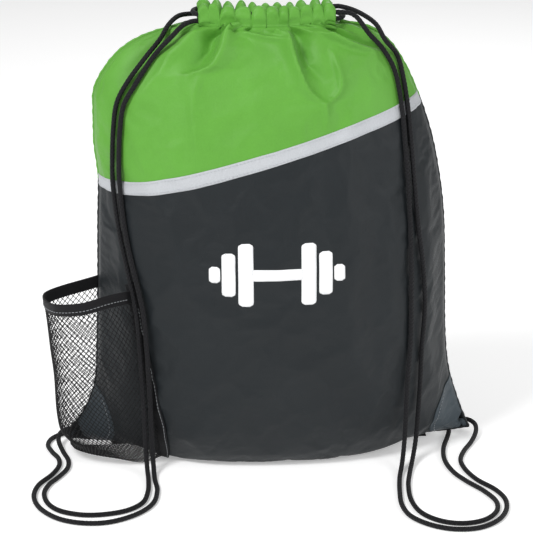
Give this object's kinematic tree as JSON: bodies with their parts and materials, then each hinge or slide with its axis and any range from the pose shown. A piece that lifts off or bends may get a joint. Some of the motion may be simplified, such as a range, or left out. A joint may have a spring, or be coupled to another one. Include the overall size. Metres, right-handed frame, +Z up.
{
  "type": "drawstring backpack",
  "caption": "Drawstring gym bag of two filled fabric panels with a gathered mouth, a slanted contrast tape, loop drawcords to the bottom corners and a mesh bottle pocket.",
  "frame": {"origin": "middle of the bottom seam, on the surface that the bag stands on", "axes": "+Z up towards the gathered mouth; +X along the width, away from the pocket; the front, where the drawcords hang and the pocket opens, faces -Y"},
  "size_m": [0.3742, 0.2601, 0.3753],
  "materials": {
    "charcoal_cloth": "plain-woven polyester, soft sheen",
    "green_cloth": "plain-woven polyester, soft sheen",
    "white_tape": "woven tape, matt",
    "black_binding": "ribbed grosgrain, matt",
    "black_mesh": "open diamond knit",
    "black_cord": "braided polyester cord"
  },
  "bodies": {
    "root": {"front_lower_panel": "charcoal_cloth", "front_upper_panel": "green_cloth", "front_contrast_tape": "white_tape", "back_lower_panel": "charcoal_cloth", "back_upper_panel": "green_cloth", "back_contrast_tape": "white_tape", "front_cord_casing": "green_cloth", "back_cord_casing": "green_cloth", "left_side_seam_binding": "charcoal_cloth", "right_side_seam_binding": "charcoal_cloth", "bottom_seam_binding": "black_binding", "left_front_corner_patch": "charcoal_cloth", "left_back_corner_patch": "charcoal_cloth", "right_front_corner_patch": "charcoal_cloth", "right_back_corner_patch": "charcoal_cloth", "mesh_pocket": "black_mesh", "pocket_rim_binding": "black_binding", "pocket_front_binding": "black_binding", "left_corner_loop": "black_binding", "right_corner_loop": "black_binding", "left_drawcord": "black_cord", "right_drawcord": "black_cord", "left_cord_knot": "black_cord", "right_cord_knot": "black_cord"}
  },
  "joints": []
}
